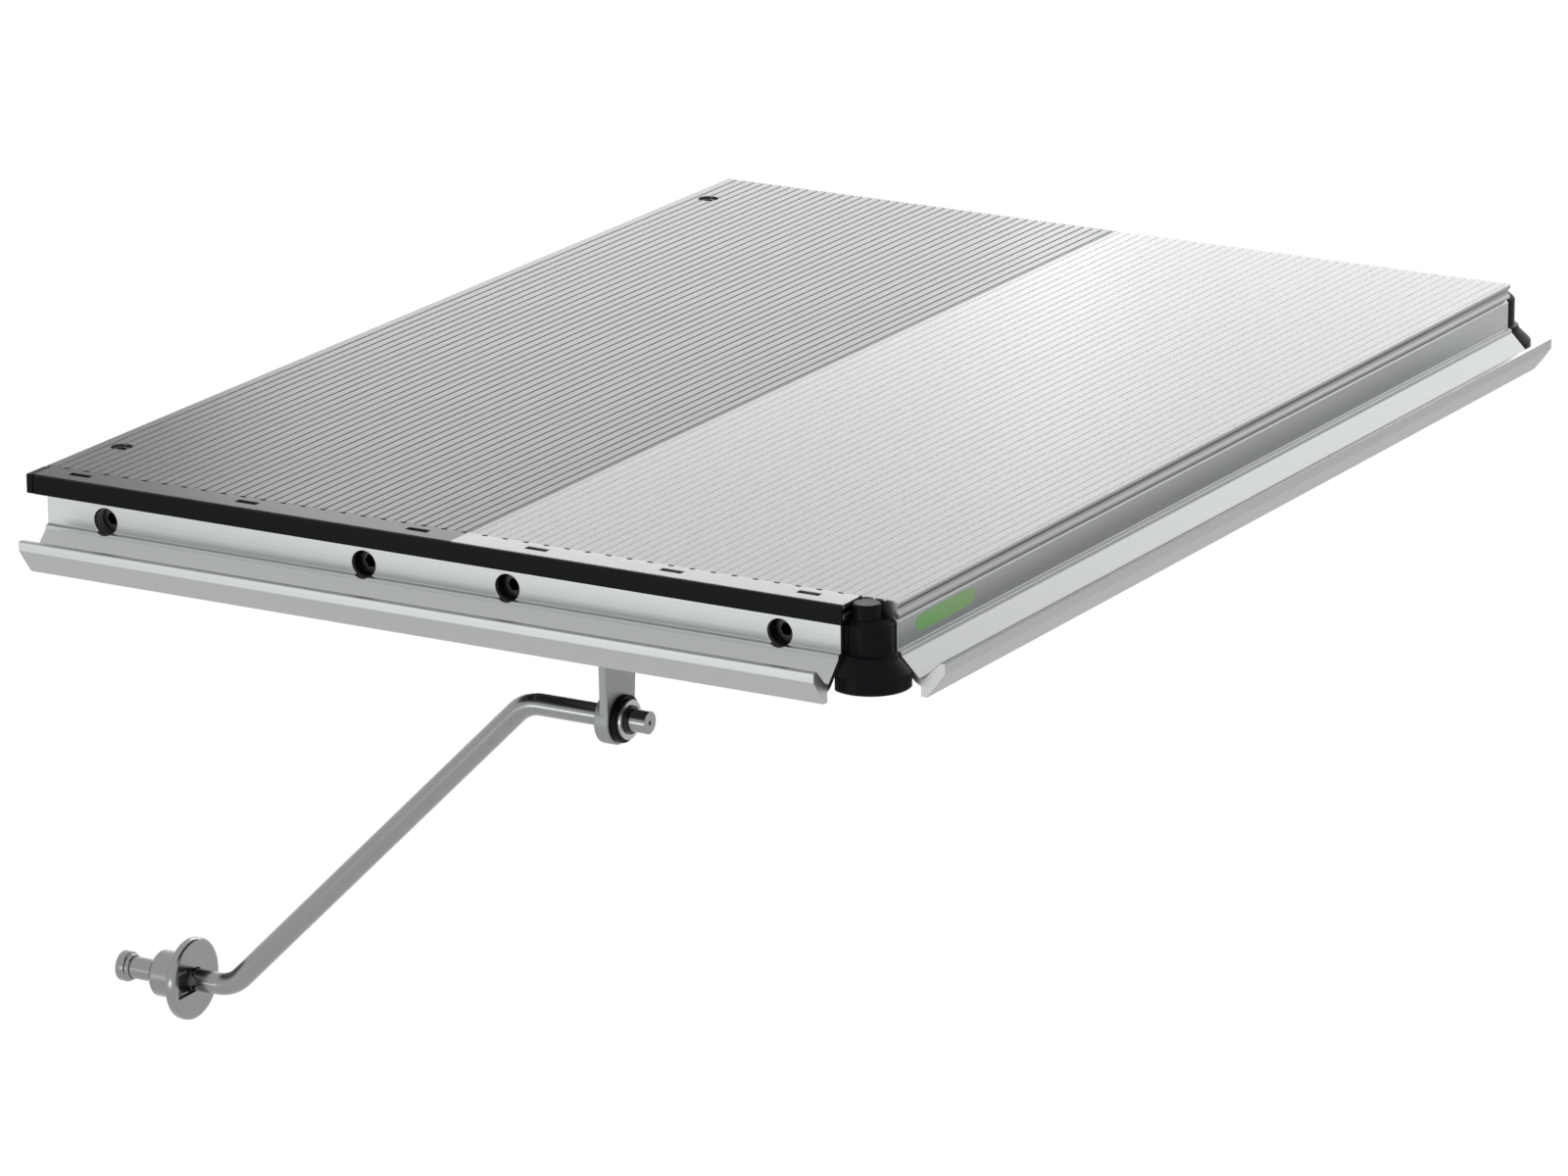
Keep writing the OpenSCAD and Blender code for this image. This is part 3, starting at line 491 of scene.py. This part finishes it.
# Painted light: the groove floors are painted lighter, against the shade that falls into
# their narrow hollows.
def groove_painted_lift(gain):
    """Two tones: a painted brightening of the groove floors by gain, and a return to one for
    all that lies deeper.
    """
    lifted = tone_along("Z", -GROOVE_DEPTH, 0.0, gain, 1.0)
    deep, shallow = -GROOVE_DEPTH - BELOW_GROOVE_TO, -GROOVE_DEPTH - BELOW_GROOVE_FROM
    return [lifted, tone_along("Z", deep, shallow, 1.0 / gain, 1.0)]


# Painted shade: the front bar is darker left of the panels' joint, to go with the inner
# panel's darker copy.
painted_shade_left = tone_along(
    "X", PANEL_JOINT_X - JOINT_BLEND, PANEL_JOINT_X + JOINT_BLEND, LEFT_PAINTED_SHADE_TONE, 1.0
)
print("the panels meet at x =", round(PANEL_JOINT_X, 2), "mm")

# %% [markdown]
# The grooves of the panels end at the front bar in a row of small openings, dark with shade.
# They are too small to need geometry here, so their shade is painted as dark marks in the
# bar's finish.

# %% Painted shade marks along the bar
MARK_PITCH, MARK_WIDTH, MARK_LENGTH = 12.0, 3.2, 1.8
PAINTED_SHADE_TONE = 0.12
BAR_REAR_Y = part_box("front_top_bar")[1][1] / MM


def painted_opening_shade(tree, place):
    """Painted shade in a row where the bar meets the panels: a dark mark for every second
    groove's opening.

    The fold of X about the pitch is smallest at each mark's middle, so a mark is where it
    is under half a mark's width; the row is a second test, on Y.
    """
    axes = tree.nodes.new("ShaderNodeSeparateXYZ")
    link(tree, place, axes.inputs["Vector"])
    fold = tree.nodes.new("ShaderNodeMath")
    fold.operation = "PINGPONG"
    fold.inputs[1].default_value = MARK_PITCH / 2 * MM
    link(tree, axes.outputs["X"], fold.inputs[0])
    gap = tree.nodes.new("ShaderNodeMath")
    gap.operation = "GREATER_THAN"
    gap.inputs[1].default_value = MARK_WIDTH / 2 * MM
    link(tree, fold.outputs["Value"], gap.inputs[0])
    outside = tree.nodes.new("ShaderNodeMath")
    outside.operation = "LESS_THAN"
    outside.inputs[1].default_value = (BAR_REAR_Y - MARK_LENGTH) * MM
    link(tree, axes.outputs["Y"], outside.inputs[0])
    clear = tree.nodes.new("ShaderNodeMath")
    clear.operation = "MAXIMUM"
    link(tree, gap.outputs["Value"], clear.inputs[0])
    link(tree, outside.outputs["Value"], clear.inputs[1])
    tone = tree.nodes.new("ShaderNodeMapRange")
    tone.inputs["To Min"].default_value = PAINTED_SHADE_TONE
    link(tree, clear.outputs["Value"], tone.inputs["Value"])
    return tone.outputs["Result"]


print("a mark every", MARK_PITCH, "mm, at y =", round(BAR_REAR_Y, 2), "mm")

# %% [markdown]
# Each finish below is the recipe with its own numbers: a colour, how much of a metal it is,
# a roughness, a grain, a slow change and the height of its bump in millimetres.

# %% Aluminium finishes
# The inner panel's darker colour is painted shade, a shaded copy of the bright panel's
# finish.
panel_painted_shade = finish(
    "panel_painted_shade", (0.19, 0.196, 0.196), 1.0, 0.34, PANEL_GRAIN, SOFT_CLOUD, 0.02,
    tones=groove_painted_lift(LEFT_GROOVE_PAINTED_LIFT), edge=0.7,
)
panel_bright = finish(
    "panel_bright", (0.345, 0.35, 0.35), 1.0, 0.40, PANEL_GRAIN, SOFT_CLOUD, 0.02,
    tones=groove_painted_lift(RIGHT_GROOVE_PAINTED_LIFT), edge=0.77,
)
rail_across = finish(
    "rail_across", (0.44, 0.452, 0.452), 1.0, 0.38, RAIL_ACROSS_GRAIN, SOFT_CLOUD, 0.02
)
rail_along = finish(
    "rail_along", (0.405, 0.414, 0.417), 1.0, 0.38, PANEL_GRAIN, SOFT_CLOUD, 0.02
)
# The bar's finish carries painted shade twice: darker left of the joint, and dark marks for
# the groove openings.
bar_satin = finish(
    "bar_satin", (0.385, 0.393, 0.393), 1.0, 0.36, RAIL_ACROSS_GRAIN, SOFT_CLOUD, 0.02,
    tones=[painted_shade_left], edge=0.75, painted_shade_marks=painted_opening_shade,
)
dress(panel_painted_shade, "panel_left")
dress(panel_bright, "panel_right")
dress(rail_across, "front_rail", "rear_rail")
dress(rail_along, "side_rail")
dress(bar_satin, "front_top_bar")
print("aluminium finishes:", [m.name for m in (panel_painted_shade, panel_bright, rail_across)],
      rail_along.name, bar_satin.name)

# %% [markdown]
# ## Steel and cast metal
# The strut is drawn round bar, shiny enough to show a dark upper edge and a pale middle.
# Its washer and the small screws are zinc plated. The bracket and the locating feet are
# castings, whose skin is a fine sandy grain under the light.

# %% Steel and cast finishes
ROUND_GRAIN = (900.0, 900.0, 900.0)
SMALL_CLOUD = (30.0, 30.0, 30.0)
ROD_GRAIN = (fine_speckle, (260.0, 260.0, 260.0), 0.10)
PLATED_GRAIN = (fine_speckle, ROUND_GRAIN, 0.15)
CAST_GRAIN = (fine_speckle, (520.0, 520.0, 520.0), 0.16)
SMALL_SHIFT = (SMALL_CLOUD, 0.12)

rod_steel = finish("rod_steel", (0.27, 0.277, 0.281), 1.0, 0.2, ROD_GRAIN, SMALL_SHIFT, 0.01)
zinc = finish("zinc", (0.42, 0.428, 0.435), 1.0, 0.30, PLATED_GRAIN, SMALL_SHIFT, 0.01)
dark_steel = finish(
    "dark_steel", (0.055, 0.055, 0.057), 1.0, 0.34, PLATED_GRAIN, SMALL_SHIFT, 0.01
)
black_steel = finish(
    "black_steel", (0.016, 0.016, 0.0165), 0.6, 0.36, PLATED_GRAIN, SMALL_SHIFT, 0.01
)
cast_skin = finish("cast_skin", (0.31, 0.32, 0.323), 0.85, 0.5, CAST_GRAIN, SMALL_SHIFT, 0.06)
dress(rod_steel, "strut_rod")
dress(zinc, "side_rail_bolts", "side_nut_bar", "top_bar_screws", "pivot_washer")
dress(zinc, "bracket_screws", "bracket_nuts")
dress(dark_steel, "front_rail_screws", "rear_rail_screws", "retaining_ring")
dress(black_steel, "edge_screws")
dress(cast_skin, "strut_bracket", "groove_feet")
print("steel and cast finishes:", rod_steel.name, zinc.name, dark_steel.name,
      black_steel.name, cast_skin.name)

# %% [markdown]
# ## Black plastic and rubber
# The strip, the end cap and the corner pieces are moulded in black plastic. Such a skin has
# a faint grain and a soft sheen, so it is dark but never a flat black. The ring on the
# pivot is smoother rubber.

# %% Black finishes
MOULD_GRAIN = (1500.0, 1500.0, 1500.0)
BLACK_GRAIN = (fine_speckle, MOULD_GRAIN, 0.3)
FAINT_SHEEN = 0.07
black_plastic = finish(
    "black_plastic", (0.0035, 0.0045, 0.006), 0.0, 0.36, BLACK_GRAIN, SMALL_SHIFT, 0.02,
    specular=FAINT_SHEEN,
)
black_rubber = finish(
    "black_rubber", (0.004, 0.004, 0.004), 0.0, 0.45, BLACK_GRAIN, SMALL_SHIFT, 0.01,
    specular=FAINT_SHEEN,
)
dress(black_plastic, "edge_strip", "bar_end_cap", "corner_front", "corner_rear", "pivot_bush")
dress(black_rubber, "rubber_ring")
print("black finishes:", black_plastic.name, black_rubber.name)

# %% [markdown]
# ## The turned plug and its end disc
# The strut ends in a plug that was turned on a lathe: a flange with a rounded rim, a stout
# cylinder that enters the machine, and a disc with a small collar that keeps it from
# slipping out. A keyhole-shaped recess in the flange's face was milled afterwards. Each
# piece is a grid of rings round the rod's axis. Where a ring follows the keyhole, its
# radius changes with the angle, so the grid goes smoothly from the keyhole to the circle.

# %% A surface turned round the plug's axis
AROUND = 256
STEEL_BORE_R = 5.9
SMALLEST = 1e-6
angle = np.linspace(0.0, 2.0 * np.pi, AROUND, endpoint=False)


def keyhole_radius(half_width, reach):
    """Distance from the axis to a keyhole's outline, for each angle from its slot.

    Towards the slot it is the nearer of the slot's side, half_width / sin, and its end,
    reach / cos; on the other half it is a circle of radius half_width.
    """
    towards, sideways = np.cos(angle), np.abs(np.sin(angle))
    to_side = half_width / np.maximum(sideways, SMALLEST)
    to_end = reach / np.maximum(towards, SMALLEST)
    outline = np.maximum(half_width, np.minimum(to_side, to_end))
    return np.where(towards > 0.0, outline, half_width)


def turned_piece(name, rings, face_x, body):
    """A closed surface through rings round the plug's axis; each is (x, radius) in mm.

    The point of a ring at an angle lies radius times cosine from the axis along -Y and
    radius times sine up, and the last ring joins the first, so the bore is closed too.
    The rings go out along the bore and back over the outside, seen with X to the right
    and the radius upwards, and each face is then wound so that it points outwards.
    """
    low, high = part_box("stud_flange")
    middle_y, middle_z = (low[1] + high[1]) / 2, (low[2] + high[2]) / 2
    along = np.array([x for x, _ in rings])[:, None] + np.zeros(AROUND)
    radius = np.array([np.zeros(AROUND) + r for _, r in rings])
    points = np.stack(
        [face_x + along * MM,
         middle_y - radius * np.cos(angle) * MM,
         middle_z + radius * np.sin(angle) * MM], axis=-1
    ).reshape(-1, 3)
    ring = np.arange(len(rings))[:, None] * AROUND
    next_ring = np.roll(ring, -1, axis=0)
    step = np.arange(AROUND)
    after = (step + 1) % AROUND
    quads = np.stack(
        [ring + step, ring + after, next_ring + after, next_ring + step], axis=-1
    ).reshape(-1, 4)
    piece = new_mesh_object(name, points, quads.tolist())
    piece.data.polygons.foreach_set("use_smooth", np.ones(len(quads), bool))
    evened = piece.modifiers.new("evened", "WEIGHTED_NORMAL")
    evened.keep_sharp = True
    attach(piece, body)
    piece.data.materials.append(rod_steel)
    print(name, "has", len(quads), "faces")
    return piece


print("each ring has", AROUND, "points")

# %% [markdown]
# The flange and the plug are one turned piece. Its rings start in the bore, cross the
# recess and the face, go round the rim and end at the plug's chamfer.

# %% Make the flange and plug
RECESS_DEPTH, RECESS_EDGE = 2.4, 0.3
RECESS_HALF_WIDTH, RECESS_REACH = 6.6, 17.0
FACE_R, RIM_R, FLANGE_T = 20.6, 22.4, 5.4
FACE_STEPS = (0.3, 0.6, 0.9, 1.0)
PLUG_R, PLUG_CHAMFER = 12.6, 2.0
recess = keyhole_radius(RECESS_HALF_WIDTH, RECESS_REACH)
recess_top = recess + RECESS_EDGE
flange_low, flange_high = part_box("stud_flange")
plug_end = (flange_low[0] - flange_high[0]) / MM
flange_rings = [
    (plug_end, STEEL_BORE_R),
    (-RECESS_DEPTH, STEEL_BORE_R),
    (-RECESS_DEPTH, recess - RECESS_EDGE),
    (RECESS_EDGE - RECESS_DEPTH, recess),
    (-RECESS_EDGE, recess),
    (0.0, recess_top),
    *[(0.0, recess_top + (FACE_R - recess_top) * part) for part in FACE_STEPS],
    (-0.3, FACE_R + 0.9),
    (-0.9, RIM_R - 0.3),
    (-1.7, RIM_R),
    (0.9 - FLANGE_T, RIM_R),
    (0.3 - FLANGE_T, RIM_R - 0.3),
    (-FLANGE_T, RIM_R - 1.0),
    (-FLANGE_T, PLUG_R + 0.6),
    (-FLANGE_T - 0.2, PLUG_R + 0.2),
    (-FLANGE_T - 0.6, PLUG_R),
    (plug_end + PLUG_CHAMFER + 0.4, PLUG_R),
    (plug_end + PLUG_CHAMFER, PLUG_R - 0.1),
    (plug_end + 0.2, PLUG_R - PLUG_CHAMFER + 0.1),
    (plug_end, PLUG_R - PLUG_CHAMFER - 0.2),
]
flange = turned_piece("turned_plug", flange_rings, flange_high[0], "strut")
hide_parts("stud_flange")

# %% [markdown]
# The end disc is turned as well. Its rings run from its flat end over the rim and then
# over the collar. They are given in reverse, so that they go round as the flange's do.

# %% Make the end disc
DISC_R, DISC_T = 8.3, 5.4
COLLAR_R, COLLAR_T = 6.9, 2.4
disc_rings = [
    (0.0, STEEL_BORE_R),
    (0.0, DISC_R - 0.9),
    (0.3, DISC_R - 0.3),
    (0.9, DISC_R),
    (DISC_T - 0.7, DISC_R),
    (DISC_T - 0.2, DISC_R - 0.2),
    (DISC_T, DISC_R - 0.7),
    (DISC_T, COLLAR_R + 0.1),
    (DISC_T + 0.2, COLLAR_R),
    (DISC_T + COLLAR_T - 0.3, COLLAR_R),
    (DISC_T + COLLAR_T, COLLAR_R - 0.3),
    (DISC_T + COLLAR_T, STEEL_BORE_R),
]
disc_end_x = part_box("end_knob")[0][0]
disc = turned_piece("end_disc", disc_rings[::-1], disc_end_x, "strut")
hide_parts("end_knob")

# %% [markdown]
# ## The coloured label
# A small plain film label sticks to the side rail near its front corner. It was printed as
# one flat colour that fades a little towards one end, and its corners are rounded so that
# they don't lift. It is a grid of points laid on the rail's upright face, a hair proud.

# %% The label's outline
LABEL_FACE_X = 499.0
LABEL_FROM, LABEL_TO = -326.0, -267.0
LABEL_LOW, LABEL_HIGH = -21.2, -12.4
LABEL_CORNER = 1.6
LABEL_PROUD = 0.08
PATCH_RINGS, PATCH_AROUND = 12, 48


def rounded_patch(along, across, corner):
    """Points and faces of a rounded rectangle: an outline scaled in rings to its middle.

    The outline is a superellipse: the cosine and the sine of the angle, each raised to a
    small power with its sign kept, times half the length and half the height. That is
    nearly a rectangle with rounded corners. Each ring is an even share of it.
    """
    rings, around = PATCH_RINGS, PATCH_AROUND
    power = 2.0 * corner / min(along, across)
    turn = np.linspace(0.0, 2.0 * np.pi, around, endpoint=False) + np.pi / around
    cosine, sine = np.cos(turn), np.sin(turn)
    outline = 0.5 * np.stack(
        [along * np.sign(cosine) * np.abs(cosine) ** power,
         across * np.sign(sine) * np.abs(sine) ** power], axis=1
    )
    part = np.arange(1, rings + 1)[:, None, None] / rings
    ring_points = (outline[None] * part).reshape(-1, 2)
    points = np.vstack([[[0.0, 0.0]], ring_points])
    step = np.arange(around)
    after = (step + 1) % around
    first = 1 + np.arange(rings - 1)[:, None] * around
    quads = np.stack(
        [first + step, first + around + step, first + around + after, first + after], axis=-1
    ).reshape(-1, 4)
    middle = np.stack([np.zeros(around, int), 1 + step, 1 + after], axis=1)
    return points, middle.tolist() + quads.tolist()


label_length, label_height = LABEL_TO - LABEL_FROM, LABEL_HIGH - LABEL_LOW
flat_points, label_faces = rounded_patch(label_length, label_height, LABEL_CORNER)
label_points = np.empty((len(flat_points), 3))
label_points[:, 0] = LABEL_FACE_X + LABEL_PROUD
label_points[:, 1] = flat_points[:, 0] + (LABEL_FROM + LABEL_TO) / 2
label_points[:, 2] = flat_points[:, 1] + (LABEL_LOW + LABEL_HIGH) / 2
label = new_mesh_object("side_label", label_points * MM, label_faces)
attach(label, "table")
print("label:", len(label_faces), "faces")

# %% [markdown]
# The film is one flat ink under a smooth skin. It fades along the label, so a colour ramp
# reads the place along Y, from the label's front end to its rear end.

# %% The label's film
FILM_FRONT, FILM_REAR = (0.19, 0.47, 0.15, 1.0), (0.30, 0.49, 0.21, 1.0)
label_film, film_tree, film_out = new_material("label_film")
film = film_tree.nodes.new("ShaderNodeBsdfPrincipled")
film.inputs["Roughness"].default_value = 0.42
film_place = film_tree.nodes.new("ShaderNodeTexCoord").outputs["Object"]
film_axes = film_tree.nodes.new("ShaderNodeSeparateXYZ")
film_fade = film_tree.nodes.new("ShaderNodeMapRange")
film_fade.inputs["From Min"].default_value = LABEL_FROM * MM
film_fade.inputs["From Max"].default_value = LABEL_TO * MM
film_colours = film_tree.nodes.new("ShaderNodeValToRGB")
film_colours.color_ramp.elements[0].color = FILM_FRONT
film_colours.color_ramp.elements[1].color = FILM_REAR
link(film_tree, film_place, film_axes.inputs["Vector"])
link(film_tree, film_axes.outputs["Y"], film_fade.inputs["Value"])
link(film_tree, film_fade.outputs["Result"], film_colours.inputs["Fac"])
link(film_tree, film_colours.outputs["Color"], film.inputs["Base Color"])
link(film_tree, film.outputs["BSDF"], film_out.inputs["Surface"])
label.data.materials.append(label_film)
print("film:", label_film.name)
